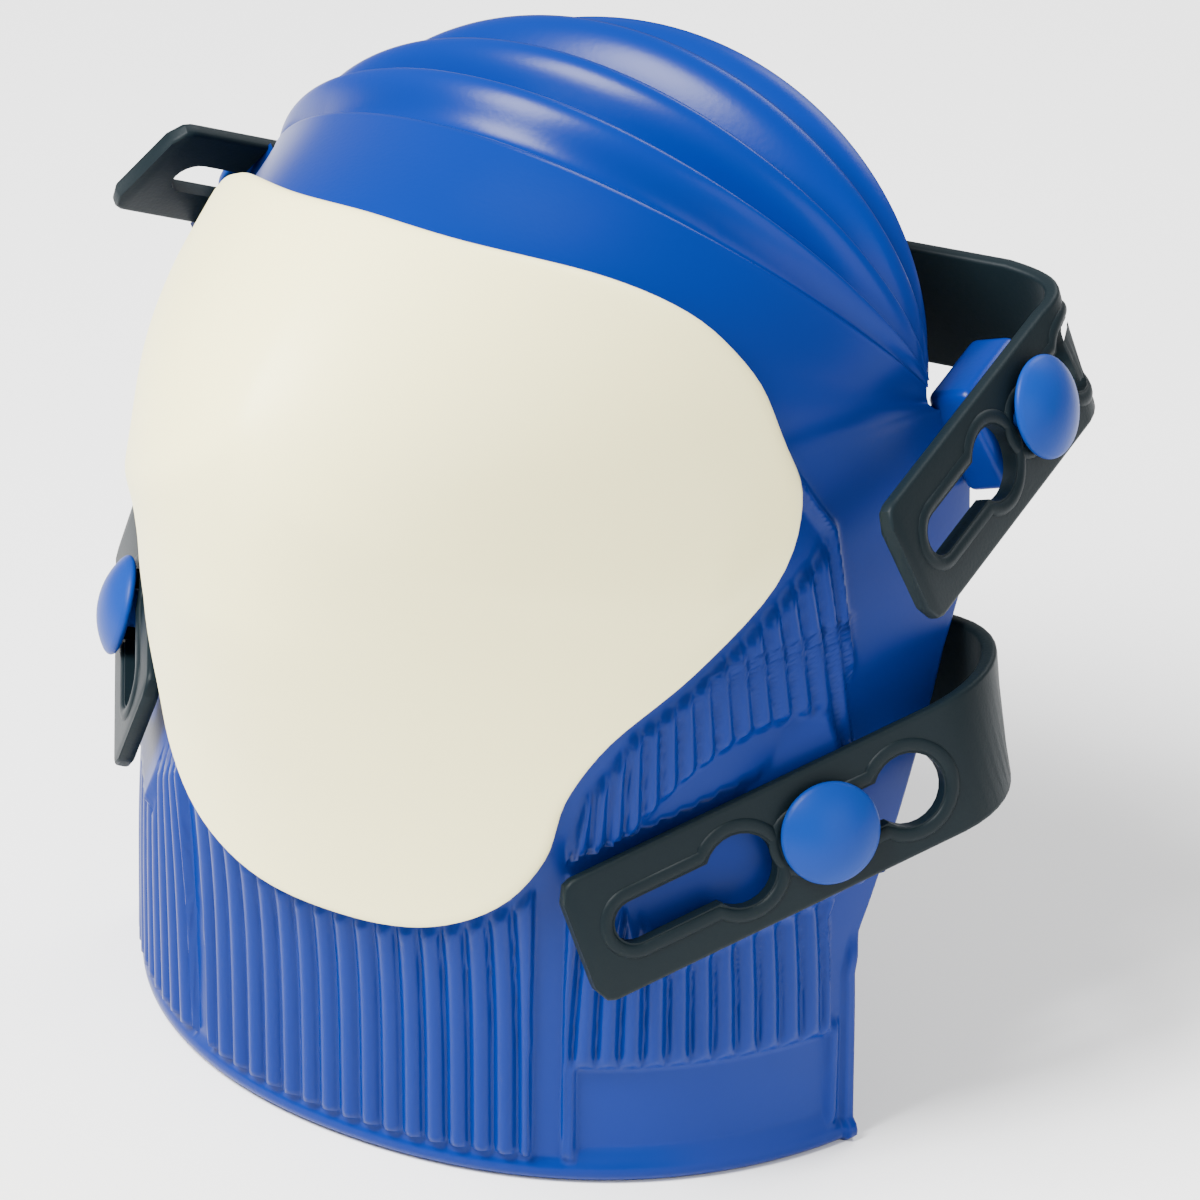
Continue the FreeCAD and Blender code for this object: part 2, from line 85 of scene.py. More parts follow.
def ease_through(knots, values, at):
    """A smooth curve through values at knots (Hermite, with averaged slopes)."""
    knots = np.asarray(knots, float)
    values = np.asarray(values, float)
    slope = np.diff(values, axis=0) / np.diff(knots).reshape((-1,) + (1,) * (values.ndim - 1))
    tangent = np.concatenate([slope[:1], (slope[1:] + slope[:-1]) / 2, slope[-1:]])
    i = np.clip(np.searchsorted(knots, at, side="right") - 1, 0, len(knots) - 2)
    span = knots[i + 1] - knots[i]
    k = (at - knots[i]) / span
    shape = (-1,) + (1,) * (values.ndim - 1)
    k, span = k.reshape(shape), span.reshape(shape)
    return (values[i] * (2 * k ** 3 - 3 * k ** 2 + 1) + tangent[i] * span * (k ** 3 - 2 * k ** 2 + k)
            + values[i + 1] * (3 * k ** 2 - 2 * k ** 3) + tangent[i + 1] * span * (k ** 3 - k ** 2))


def section_points(phi):
    """Points of every section at the angles phi: array of sections x angles x 3."""
    points = []
    for number, (place, front, half, rear, square, peak) in enumerate(LEVEL + TURNED):
        across = half * np.sign(phi) * np.abs(np.sin(phi)) ** (2 / square)
        forward = rear + (front - rear) * np.abs(np.cos(phi)) ** (2 / peak)
        if number < len(LEVEL):
            back = HUB_BACK - forward
            up = np.full_like(across, place)
        else:
            turn = math.radians(place)
            back = HUB_BACK - forward * math.cos(turn)
            up = HUB_UP + forward * math.sin(turn)
        points.append(np.stack([across, back, up], -1))
    return np.array(points)


FRONT_LINE = section_points(np.array([0.0]))[:, 0]
RUN = np.concatenate([[0], np.cumsum(np.linalg.norm(np.diff(FRONT_LINE, axis=0), axis=1))])
TURN_AT = [0.0] * len(LEVEL) + [section[0] for section in TURNED]
FACE_START = RUN[len(LEVEL) - 1]
TURN_START = RUN[len(LEVEL)]
BELLOWS_START = RUN[len(LEVEL) + 2]


def rows_of_surface():
    """Stations up the front of the cup: close together where the bellows fold."""
    low = np.arange(0, FACE_START, 1.15)
    face = np.arange(FACE_START, BELLOWS_START, 2.2)
    bellows = np.arange(BELLOWS_START, RUN[-1], 0.75)
    return np.concatenate([low, face, bellows, [RUN[-1]]])


def grid_normals(grid):
    """Outward unit normals of a grid of points."""
    up = np.gradient(grid, axis=0)
    side = np.gradient(grid, axis=1)
    normal = np.cross(side, up)
    length = np.linalg.norm(normal, axis=2, keepdims=True)
    return normal / np.maximum(length, 1e-9)


def base_surface(columns):
    """The plain outer surface, trimmed at the rear edge: points, angles, stations."""
    fine = np.radians(np.linspace(0, 90, 181))
    stations = rows_of_surface()
    fine_rows = ease_through(RUN, section_points(fine), stations)
    share = np.linspace(-1, 1, columns)
    phi = np.zeros((len(stations), columns))
    for n, row in enumerate(fine_rows):
        edge = np.interp(row[0, 2], *zip(*REAR_EDGE)) if stations[n] < FACE_START else NO_REAR_EDGE
        past = np.nonzero(row[:, 1] > edge)[0]
        last = np.interp(edge, row[:, 1], fine) if len(past) else fine[-1]
        phi[n] = share * last
    grid = np.zeros((len(stations), columns, 3))
    for n in range(len(stations)):
        grid[n] = ease_through(RUN, section_points(phi[n]), stations[n:n + 1])[0]
    return grid, phi, stations


# ------------------------------------------------------------------ places of studs and straps

class Place:
    """A stud's place: its point in mid-strap and its directions along, across and outward."""

    def __init__(self, base, along, outward):
        self.base = np.array(base, float)
        self.out = np.array(outward, float) / np.linalg.norm(outward)
        along = np.array(along, float) - self.out * np.dot(along, self.out)
        self.along = along / np.linalg.norm(along)
        self.across = np.cross(self.out, self.along)

    def at(self, along, across, out):
        """The point at these distances from the base."""
        return self.base + self.along * along + self.across * across + self.out * out

    def local(self, points):
        """Distances of points from the base: along, across and outward."""
        off = points - self.base
        return off @ self.along, off @ self.across, off @ self.out


def flip(v):
    """A point or direction on the other side of the plane of symmetry."""
    return (-v[0], v[1], v[2])


# A stud's point in mid-strap, the way to its strap's free end, and the way outward.
UPPER = ((83.6, 98.9, 134.3), (0.018, -0.977, -0.215), (0.935, -0.03, 0.353))
LOWER = ((75.7, 40.2, 71.1), (-0.538, -0.801, -0.265), (0.756, -0.597, 0.268))
PLACES = {
    "upper_right": Place(*UPPER),
    "upper_left": Place(flip(UPPER[0]), (-0.38, -0.81, 0.44), (-0.70, 0.52, 0.49)),
    "lower_right": Place(*LOWER),
    "lower_left": Place(*[flip(v) for v in LOWER]),
}
SEAT = 2.9
LOWER_CORNERS = ("lower_right", "lower_left")


# ------------------------------------------------------------------ meshes

def mesh_object(name, points, faces, soft=True):
    """A mesh from millimetre points and faces."""
    mesh = bpy.data.meshes.new(name)
    corners = [tuple(p) for p in np.asarray(points, float) * MM]
    mesh.from_pydata(corners, [], [tuple(map(int, f)) for f in faces])
    shape = bmesh.new()
    shape.from_mesh(mesh)
    bmesh.ops.recalc_face_normals(shape, faces=shape.faces)
    shape.to_mesh(mesh)
    shape.free()
    if soft:
        mesh.shade_smooth()
    made = bpy.data.objects.new(name, mesh)
    bpy.context.scene.collection.objects.link(made)
    return made


def grid_faces(rows, columns, start=0, turned=False, wrap=False):
    """Quads of a grid whose points are stored row by row."""
    faces = []
    last = columns if wrap else columns - 1
    for r in range(rows - 1):
        for c in range(last):
            a = start + r * columns + c
            b = start + r * columns + (c + 1) % columns
            quad = (a, b, b + columns, a + columns)
            faces.append(quad[::-1] if turned else quad)
    return faces


def slab(name, outer, inner):
    """A closed piece between two grids of the same size."""
    rows, columns = outer.shape[:2]
    count = rows * columns
    points = np.concatenate([outer.reshape(-1, 3), inner.reshape(-1, 3)])
    faces = grid_faces(rows, columns) + grid_faces(rows, columns, count, True)
    ring = ([(0, c) for c in range(columns)] + [(r, columns - 1) for r in range(1, rows)]
            + [(rows - 1, c) for c in range(columns - 2, -1, -1)] + [(r, 0) for r in range(rows - 2, 0, -1)])
    index = [r * columns + c for r, c in ring]
    for a, b in zip(index, index[1:] + index[:1]):
        faces.append((b, a, a + count, b + count))
    return mesh_object(name, points, faces)


def sharpen(piece, degrees):
    """Sharp shading where faces meet at more than an angle."""
    bpy.context.view_layer.objects.active = piece
    piece.select_set(True)
    bpy.ops.object.shade_smooth_by_angle(angle=math.radians(degrees))
    piece.select_set(False)


# ------------------------------------------------------------------ the shell

RIB_PITCH = 4.5
RIB_HEIGHT = 2.0
RIB_AXIS_BACK = 56.0
PANEL_EDGE = math.radians(26.0)
PANEL_GROOVE = 2.1
# A patch on the side wall: lowest, highest (mm), first and last angle (degrees).
PLATE = (5.2, 24.6, 29.5, 65.0)
PLATE_FRAME = (4.2, 26.0, 28.4, 66.4)
FRAME_HEIGHT = 1.2
PLATE_SINK = 0.4
BEAD_HEIGHT = 2.3
BEAD_WIDTH = 1.1
LIP_HEIGHT = 1.3
LIP_HALF = 2.1
EDGE_HEIGHT = 1.1
PLATFORM_TOP = 22.0
PLATFORM_SLOPE = 0.061
PLATFORM_LIFT = 16.0
STRAP_ROOM = 6.0


def cap_reach(x, z):
    """How far a front-view point lies inside (negative) or outside the cap's outline."""
    angle = np.arctan2(np.abs(x), z - CAP_CENTRE)
    outline = np.array(CAP_OUTLINE, float)
    edge_angle = np.arctan2(outline[:, 0], outline[:, 1] - CAP_CENTRE)
    order = np.argsort(edge_angle)
    radius = np.hypot(outline[:, 0], outline[:, 1] - CAP_CENTRE)
    return np.hypot(x, z - CAP_CENTRE) - np.interp(angle, edge_angle[order], radius[order])


def bellows_depth(turn):
    """Depth of the folds behind each crest, by angle about the hub."""
    depth = np.zeros_like(turn)
    for low, high, deep in zip((FOLD_START,) + CRESTS[:-1], CRESTS, FOLD_DEPTHS):
        k = (turn - low) / (high - low)
        inside = (k > 0) & (k < 1)
        fall = smooth(0.0, 0.17, k)
        rise = 1 - smooth(0.12, 1.05, k)
        depth = np.where(inside, deep * np.minimum(fall, rise), depth)
    return depth


def side_patch(z, phi, low, high, first, last):
    """1 inside a patch of the side wall and 0 outside it, with soft edges."""
    upright = smooth(low, low + 1.0, z) * (1 - smooth(high, high + 1.0, z))
    return (upright * smooth(math.radians(first), math.radians(first + 0.7), phi)
            * (1 - smooth(math.radians(last), math.radians(last + 0.7), phi)))


def rib_wave(x, y):
    """The ribs round the skirt, from 0 to 1, and the distance from the front panel's edge."""
    fine = np.radians(np.linspace(0, 90, 361))
    rim = section_points(fine)[0]
    travelled = np.concatenate([[0], np.cumsum(np.linalg.norm(np.diff(rim, axis=0), axis=1))])
    rim_bearing = np.arctan2(rim[:, 0], RIB_AXIS_BACK - rim[:, 1])
    around = np.interp(np.arctan2(np.abs(x), RIB_AXIS_BACK - y), rim_bearing, travelled)
    panel = np.interp(PANEL_EDGE, fine, travelled)
    along_front = np.interp(np.abs(x), rim[:, 0], travelled)
    along_side = np.interp(y, rim[:, 1], travelled)
    wave = np.abs(np.cos(np.pi * np.where(around < panel, along_front, along_side) / RIB_PITCH))
    return wave, np.abs(around - panel)


def shell_relief(grid, phi, stations):
    """Height of every moulded detail above the plain surface."""
    x, y, z = grid[..., 0], grid[..., 1], grid[..., 2]
    low = (stations < TURN_START)[:, None]
    bead_y = np.interp(z, *zip(*BEAD_LINE))
    wave, from_panel = rib_wave(x, y)
    ribbed = low * smooth(4.6, 5.8, z) * (1 - smooth(-2.4, -1.2, y - bead_y))
    ribbed = ribbed * smooth(0.6, 1.2, from_panel - PANEL_GROOVE)
    ribbed = ribbed * smooth(1.0, 2.5, cap_reach(x, z))
    for corner in LOWER_CORNERS:
        ribbed = ribbed * (1 - platform_area(corner, grid)[0])
    plate = side_patch(z, phi, *PLATE)
    plate_frame = side_patch(z, phi, *PLATE_FRAME)
    ribbed = ribbed * (1 - plate_frame)
    height = RIB_HEIGHT * ribbed * wave ** 0.7
    height = height + FRAME_HEIGHT * (plate_frame - plate) - PLATE_SINK * plate
    bead = np.exp(-((y - bead_y) / BEAD_WIDTH) ** 2) * low * smooth(92, 98, z) * (1 - smooth(141, 146, z))
    height = height + BEAD_HEIGHT * bead
    lip = np.sqrt(np.clip(1 - ((z - LIP_HALF) / LIP_HALF) ** 2, 0, 1)) * low
    height = height + LIP_HEIGHT * lip
    share = np.abs(np.linspace(-1, 1, grid.shape[1]))[None, :]
    edge = smooth(0.975, 0.983, share) * low * (1 - smooth(38, 44, z))
    return height + EDGE_HEIGHT * edge


def platform_area(corner, grid):
    """Where a strap's platform is, from 0 to 1, and the grid in its stud's own directions."""
    place = PLACES[corner]
    along, across, out = place.local(grid)
    upward = across * math.copysign(1, place.across[2])
    top = PLATFORM_TOP - 0.012 * (along - 8) ** 2
    near = (out > -26) & (out < 8)
    inside = (smooth(-10.6, -9.0, along) * (1 - smooth(36.0, 37.6, along))
              * (1 - smooth(top, top + 1.6, upward)) * smooth(-15.8, -14.2, upward))
    return inside * near, along, across, out


def raise_platforms(grid):
    """Flat raised platforms under the lower strap's ends, and room for the strap above them."""
    for corner in LOWER_CORNERS:
        inside, along, across, out = platform_area(corner, grid)
        top = -SEAT - np.clip(along, 0, None) * PLATFORM_SLOPE
        under_strap = (along > -11) & (along < 53.5) & (np.abs(across) < 13.8) & (out < STRAP_ROOM)
        raised = np.clip(top - out, 0, PLATFORM_LIFT) * inside
        lowered = np.where(under_strap, np.clip(out - top, 0, STRAP_ROOM), 0)
        grid = grid + (raised - lowered)[..., None] * PLACES[corner].out
    return grid


def make_shell():
    """Cup, skirt, wings and bellows in one moulding."""
    grid, phi, stations = base_surface(501)
    plain_normals = grid_normals(grid)
    inner = grid - plain_normals * WALL
    turn = np.interp(stations, RUN, TURN_AT)
    fold = bellows_depth(turn)[:, None]
    hub = np.array([0, HUB_BACK, HUB_UP])
    radial = grid - hub
    radial[..., 0] = 0
    distance = np.linalg.norm(radial, axis=2)
    push = fold * np.clip(distance / FOLD_RADIUS, 0, 1.1)
    outward = radial / np.maximum(distance, 1e-6)[..., None]
    relief = shell_relief(grid, phi, stations)[..., None]
    outer = grid + plain_normals * relief - outward * push[..., None]
    inner = inner - outward * push[..., None]
    outer = raise_platforms(outer)
    shell = slab("shell_skin", outer, inner)
    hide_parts("shell", "bellows_pleat_1", "bellows_pleat_2", "bellows_pleat_3")
    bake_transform(shell)
    return shell, grid


BLOCK_AHEAD = 1.0
BLOCK_LENGTH = 20.0
BLOCK_WIDTH = 22.0
BLOCK_EDGE = 2.2


def make_block(corner, depth):
    """The raised block under an end of the upper strap."""
    place = PLACES[corner]
    shape = bmesh.new()
    bmesh.ops.create_cube(shape, size=1.0)
    for vertex in shape.verts:
        x, y, z = vertex.co
        along = BLOCK_AHEAD + BLOCK_LENGTH * x
        vertex.co = Vector(place.at(along, BLOCK_WIDTH * y, -SEAT - depth * (0.5 - z))) * MM
    bmesh.ops.bevel(shape, geom=shape.edges[:], offset=BLOCK_EDGE * MM, segments=4, affect="EDGES",
                    profile=0.5)
    bmesh.ops.recalc_face_normals(shape, faces=shape.faces)
    mesh = bpy.data.meshes.new(corner + "_block")
    shape.to_mesh(mesh)
    shape.free()
    mesh.shade_smooth()
    block = bpy.data.objects.new(corner + "_block", mesh)
    bpy.context.scene.collection.objects.link(block)
    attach(block, "shell")
    return block


# ------------------------------------------------------------------ the cap and the foam

CAP_UNDER = 1.7
CAP_CREST = 3.4
CAP_RIM_DROP = 0.9
CAP_ROLL = 3.2
PEG_RADIUS = 2.4
PEG_TIP_RADIUS = 2.0


def make_caster(grid, grown):
    """A function that finds the surface, grown outward, behind a front-view point."""
    rows, columns = grid.shape[:2]
    grid = grid + grid_normals(grid) * grown
    tree = BVHTree.FromPolygons([Vector(p) for p in grid.reshape(-1, 3)], grid_faces(rows, columns))

    def cast(x, z):
        hit = tree.ray_cast(Vector((x, -200.0, z)), Vector((0, 1, 0)))[0]
        return np.array(hit) if hit is not None else None
    return cast


def outline_points(count):
    """The cap's front-view outline as evenly spread points, one way round."""
    half = np.array(CAP_OUTLINE, float)
    whole = np.concatenate([half, (half * [-1, 1])[-2:0:-1], half[:1]])
    along = np.concatenate([[0], np.cumsum(np.linalg.norm(np.diff(whole, axis=0), axis=1))])
    padded = np.concatenate([whole[-3:-1], whole, whole[1:3]])
    knots = np.concatenate([along[-3:-1] - along[-1], along, along[1:3] + along[-1]])
    return ease_through(knots, padded, np.linspace(0, along[-1], count, endpoint=False))


def make_cap(cast):
    """Hard cap with a rolled edge and a soft ridge."""
    count, rings = 160, 46
    rim = outline_points(count)
    shares = 1 - (1 - np.linspace(0, 1, rings)) ** 1.5
    grid = np.zeros((rings, count, 3))
    for r, share in enumerate(shares):
        for c in range(count):
            x, z = np.array([0, CAP_CENTRE]) + (rim[c] - [0, CAP_CENTRE]) * max(share, 0.01)
            grid[r, c] = cast(x, z)
    wrapped = np.concatenate([grid[:, -2:], grid, grid[:, :2]], 1)
    normals = grid_normals(wrapped)[:, 2:-2]
    normals = np.where(normals[..., 1:2] > 0, -normals, normals)
    middle = normals[2].mean(0)
    normals[:2] = middle / np.linalg.norm(middle)
    under = grid - normals * CAP_UNDER
    from_edge = np.linalg.norm(grid - grid[-1:], axis=2)
    edge = np.sqrt(np.clip(1 - (1 - np.clip(from_edge / CAP_ROLL, 0, 1)) ** 2, 0, 1))
    off_ridge = (grid[..., 2] - (RIDGE_UP - RIDGE_FALL * np.abs(grid[..., 0]))) * 0.82
    ridge = RIDGE_HEIGHT * np.exp(-(np.sqrt(off_ridge ** 2 + 3.0) - 1.7) / 10.0) * smooth(2, 22, from_edge)
    over = grid + normals * (CAP_CREST * edge - CAP_RIM_DROP + ridge)[..., None]
    points = np.concatenate([over.reshape(-1, 3), under.reshape(-1, 3)])
    total = rings * count
    turned = np.cross(over[5, 1] - over[5, 0], over[6, 0] - over[5, 0])[1] > 0
    faces = grid_faces(rings, count, 0, turned, True) + grid_faces(rings, count, total, not turned, True)
    for c in range(count):
        a = (rings - 1) * count + c
        b = (rings - 1) * count + (c + 1) % count
        faces.append((a, b, b + total, a + total) if not turned else (b, a, a + total, b + total))
    over_middle = tuple(range(count))
    under_middle = tuple(total + c for c in range(count))
    faces.append(over_middle if turned else over_middle[::-1])
    faces.append(under_middle[::-1] if turned else under_middle)
    cap = mesh_object("cap_skin", points, faces)
    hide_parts("cap")
    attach(cap, "shell")
    return cap


def make_foam(name, node, cast, inset, thickness, half, low, high, quilts):
    """A foam pad inside the cup: a firm front, a crowned back and stitched channels."""
    across, up = 49, 41
    front = np.zeros((up, across, 3))
    for r, v in enumerate(np.linspace(low, high, up)):
        for c, u in enumerate(np.linspace(-half, half, across)):
            front[r, c] = cast(u, v)
    normals = grid_normals(front)
    normals = np.where(normals[..., 1:2] > 0, -normals, normals)
    u = np.linspace(-1, 1, across)[None, :]
    v = np.linspace(-1, 1, up)[:, None]
    crown = np.sqrt(np.clip((1 - u ** 8) * (1 - v ** 8), 0, 1))
    channels = sum(np.exp(-((u - q) / 0.05) ** 2) for q in quilts)
    outer = front - normals * (inset + thickness / 2 * (1 - crown))[..., None]
    depth = inset + thickness / 2 + thickness / 2 * crown * (1 - 0.35 * channels)
    inner = front - normals * depth[..., None]
    foam = slab(name, outer, inner)
    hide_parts(node)
    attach(foam, "shell")
    return foam


# ------------------------------------------------------------------ studs

def lathe(name, place, profile, steps=64):
    """A round piece turned about a stud's axis from (radius, height) points."""
    points = []
    for radius, height in profile:
        for n in range(steps):
            angle = 2 * math.pi * n / steps
            points.append(place.at(radius * math.cos(angle), radius * math.sin(angle), height))
    faces = grid_faces(len(profile), steps, 0, False, True)
    faces.append(tuple(range(steps))[::-1])
    faces.append(tuple((len(profile) - 1) * steps + n for n in range(steps)))
    return mesh_object(name, points, faces)


SHANK_RADIUS = 3.7
HEAD_RADIUS = 8.9
RIM_HALF = 0.85
RIM_TOP = 1.7
DOME_RADIUS = 15.0
DOME_FOOT = 9.3


def make_stud(corner, place):
    """Mushroom stud with a softly rounded rim and a low dome."""
    shank = [(2.7, SEAT - 17.6), (SHANK_RADIUS, SEAT - 16.4), (SHANK_RADIUS, SEAT - 0.6), (4.3, SEAT)]
    rim = [(HEAD_RADIUS, SEAT)]
    for n in range(1, 8):
        angle = -math.pi / 2 + math.pi * n / 9
        height = SEAT + RIM_HALF + RIM_HALF * math.sin(angle)
        rim.append((HEAD_RADIUS + 0.8 * math.cos(angle), height))
    dome = []
    sink = math.sqrt(DOME_RADIUS ** 2 - DOME_FOOT ** 2)
    for n in range(16):
        radius = 9.1 * math.cos(math.pi / 2 * n / 15.5)
        dome.append((radius, SEAT + RIM_TOP + math.sqrt(DOME_RADIUS ** 2 - radius ** 2) - sink))
    dome.append((0.05, SEAT + RIM_TOP + DOME_RADIUS - sink))
    stud = lathe(corner + "_stud_skin", place, shank + rim + dome)
    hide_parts(corner + "_stud")
    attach(stud, "shell")
    return stud


def make_pegs(cast):
    """The cap's pegs, from inside the shell's wall to just past their push nuts."""
    nuts = np.array([v.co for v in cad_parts["push_nuts"].data.vertices]) / MM
    for number, (x, z) in enumerate(PEG_SPOTS, start=1):
        near = nuts[np.hypot(nuts[:, 0] - x, nuts[:, 2] - z) < 6]
        front = cast(x, z)[1] + 1.0
        back = near[:, 1].max() + 0.5
        axis = Place((x, 0, z), (1, 0, 0), (0, 1, 0))
        profile = [(PEG_RADIUS, front), (PEG_RADIUS, back - 0.4), (PEG_TIP_RADIUS, back)]
        peg = lathe("cap_peg_%d" % number, axis, profile, 24)
        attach(peg, "shell")
        paint(peg, CREAM)


# ------------------------------------------------------------------ straps

STRAP_HALF = 12.5
STRAP_THICK = 3.0
KEYHOLE_TIP = 7.4
KEYHOLE_CENTRE = 33.4
KEYHOLE_PITCH = 35.0
ROUND = 7.0
SLOT = 4.1
RIGHT_REACH = 51.0
LEFT_REACH = 32.5
STATION_STEP = 1.5
BEND_STEPS = 14
NO_FREE_END = 99.0
CORNER_RADIUS = 3.5
EDGE_RADIUS = 0.9
RING_GROWN = 1.6
RING_HALF = 1.35
RING_RISE = 0.8
RING_SINK = 0.25
RING_POINTS = 9


def unit(v):
    """A vector's direction."""
    return v / np.linalg.norm(v)


def strap_side(place, reach, straight, cross, cross_up, pull):
    """Stations from a free end, past its stud and round the bend to the crossing."""
    across = place.across if place.across[2] > 0 else -place.across
    stations = []
    for along in np.arange(reach, -straight, -STATION_STEP):
        stations.append((place.at(along, 0, 0), across, place.out, reach - along))
    start = place.at(-straight, 0, 0)
    way_out = -place.along
    inward = np.array([-math.copysign(1, place.base[0]), 0, 0])
    p0, p1, p2, p3 = start, start + way_out * pull, cross - inward * pull, cross
    for n in range(BEND_STEPS + 1):
        k = n / BEND_STEPS
        centre = p0 * (1 - k) ** 3 + p1 * 3 * k * (1 - k) ** 2 + p2 * 3 * k ** 2 * (1 - k) + p3 * k ** 3
        way = unit((p1 - p0) * (1 - k) ** 2 + (p2 - p1) * 2 * k * (1 - k) + (p3 - p2) * k ** 2)
        side = across * (1 - k) + cross_up * k
        side = unit(side - way * np.dot(side, way))
        face = np.cross(way, side)
        face = face * math.copysign(1, np.dot(face, stations[-1][2]))
        stations.append((centre, side, face, NO_FREE_END))
    return stations


def strap_section(centre, side, face, from_end):
    """A rounded strip: narrower within its free end's round corners."""
    half = STRAP_HALF
    if from_end < CORNER_RADIUS:
        rise = math.sqrt(max(CORNER_RADIUS ** 2 - (CORNER_RADIUS - from_end) ** 2, 0.0))
        half = STRAP_HALF - CORNER_RADIUS + rise
    points = []
    for sx, sz, first in ((1, 1, 0), (-1, 1, 90), (-1, -1, 180), (1, -1, 270)):
        for n in range(4):
            angle = math.radians(first + 30 * n)
            u = sx * (half - EDGE_RADIUS) + EDGE_RADIUS * math.cos(angle)
            w = sz * (STRAP_THICK / 2 - EDGE_RADIUS) + EDGE_RADIUS * math.sin(angle)
            points.append(centre + side * u + face * w)
    return points


def keyhole_outline(grow, steps=20):
    """The keyhole's edge in its own plane: (along towards the tip, across)."""
    round_r, slot_r = ROUND + grow, SLOT + grow
    length = KEYHOLE_CENTRE - KEYHOLE_TIP - SLOT
    open_angle = math.asin(min(slot_r / round_r, 1))
    points = []
    for n in range(steps + 1):
        angle = open_angle + (2 * math.pi - 2 * open_angle) * n / steps
        points.append((round_r * math.cos(angle), round_r * math.sin(angle)))
    for n in range(steps // 2 + 1):
        angle = -math.pi / 2 + math.pi * n / (steps // 2)
        points.append((length + slot_r * math.cos(angle), slot_r * math.sin(angle)))
    return points


def strap_wrap(stations):
    """A function that puts (distance from the free end, across, height) on the strap."""
    centres = np.array([s[0] for s in stations])
    sides = np.array([s[1] for s in stations])
    faces = np.array([s[2] for s in stations])
    run = np.concatenate([[0], np.cumsum(np.linalg.norm(np.diff(centres, axis=0), axis=1))])

    def at(distance, across, height):
        centre, side, face = [np.array([np.interp(distance, run, part[:, n]) for n in range(3)])
                              for part in (centres, sides, faces)]
        return centre + unit(side) * across + unit(face) * height
    return at


def keyhole_cutter(wrap, centre):
    """A prism of the keyhole's shape, through the strap."""
    outline = keyhole_outline(0.0)
    count = len(outline)
    points = []
    for height in (-2.6, 2.6):
        for along, across in outline:
            points.append(wrap(centre - along, across, height))
    faces = [tuple(range(count))[::-1], tuple(range(count, 2 * count))]
    for n in range(count):
        m = (n + 1) % count
        faces.append((n, m, m + count, n + count))
    return mesh_object("cutter", points, faces, soft=False)


def bead_ring(name, wrap, centre_from_end, body):
    """The raised bead round a keyhole on the strap's outer face."""
    centre = np.array(keyhole_outline(RING_GROWN, 36))
    count = len(centre)
    rings = []
    for n in range(count):
        ahead = centre[(n + 1) % count] - centre[n - 1]
        normal = np.array([ahead[1], -ahead[0]]) / max(np.linalg.norm(ahead), 1e-6)
        for step in range(RING_POINTS):
            angle = math.pi * step / (RING_POINTS - 1)
            shift = centre[n] + normal * RING_HALF * math.cos(angle)
            height = STRAP_THICK / 2 - RING_SINK + RING_RISE * math.sin(angle)
            rings.append(wrap(centre_from_end - shift[0], shift[1], height))
    faces = []
    for n in range(count):
        here, ahead = n * RING_POINTS, ((n + 1) % count) * RING_POINTS
        for step in range(RING_POINTS):
            beside = (step + 1) % RING_POINTS
            faces.append((here + step, here + beside, ahead + beside, ahead + step))
    bead = mesh_object(name, rings, faces)
    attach(bead, body)
    paint(bead, RUBBER)


def make_strap(name, right, left, shape):
    """A moulded strap with keyholes cut through and beads round them."""
    up = unit(np.array(shape["up"], float))
    straight, pull = shape["straight"], shape["pull"]
    right_cross, left_cross = np.array(shape["right_cross"], float), np.array(shape["left_cross"], float)
    right_side = strap_side(right, RIGHT_REACH, straight, right_cross, up, pull)
    left_side = strap_side(left, LEFT_REACH, straight, left_cross, up, pull)
    stations = right_side + left_side[::-1]
    sections = [strap_section(*s) for s in stations]
    size = len(sections[0])
    points = np.array(sections).reshape(-1, 3)
    faces = grid_faces(len(sections), size, 0, False, True)
    faces.append(tuple(range(size))[::-1])
    faces.append(tuple((len(sections) - 1) * size + n for n in range(size)))
    strap = mesh_object(name + "_skin", points, faces)
    wrap_right, wrap_left = strap_wrap(right_side), strap_wrap(left_side)
    cuts = [("end", wrap_right, KEYHOLE_CENTRE), ("stud", wrap_right, KEYHOLE_CENTRE + KEYHOLE_PITCH),
            ("left", wrap_left, KEYHOLE_CENTRE)]
    for label, wrap, centre in cuts:
        cutter = keyhole_cutter(wrap, centre)
        boolean = strap.modifiers.new("cut_" + label, "BOOLEAN")
        boolean.object = cutter
        boolean.solver = "EXACT"
        graph = bpy.context.evaluated_depsgraph_get()
        cut_mesh = bpy.data.meshes.new_from_object(strap.evaluated_get(graph))
        strap.modifiers.clear()
        strap.data = cut_mesh
        bpy.data.objects.remove(cutter)
        bead_ring("%s_%s_bead" % (name, label), wrap, centre, name)
    sharpen(strap, 40)
    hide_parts(name)
    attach(strap, name)
    paint(strap, RUBBER)


# ------------------------------------------------------------------ materials

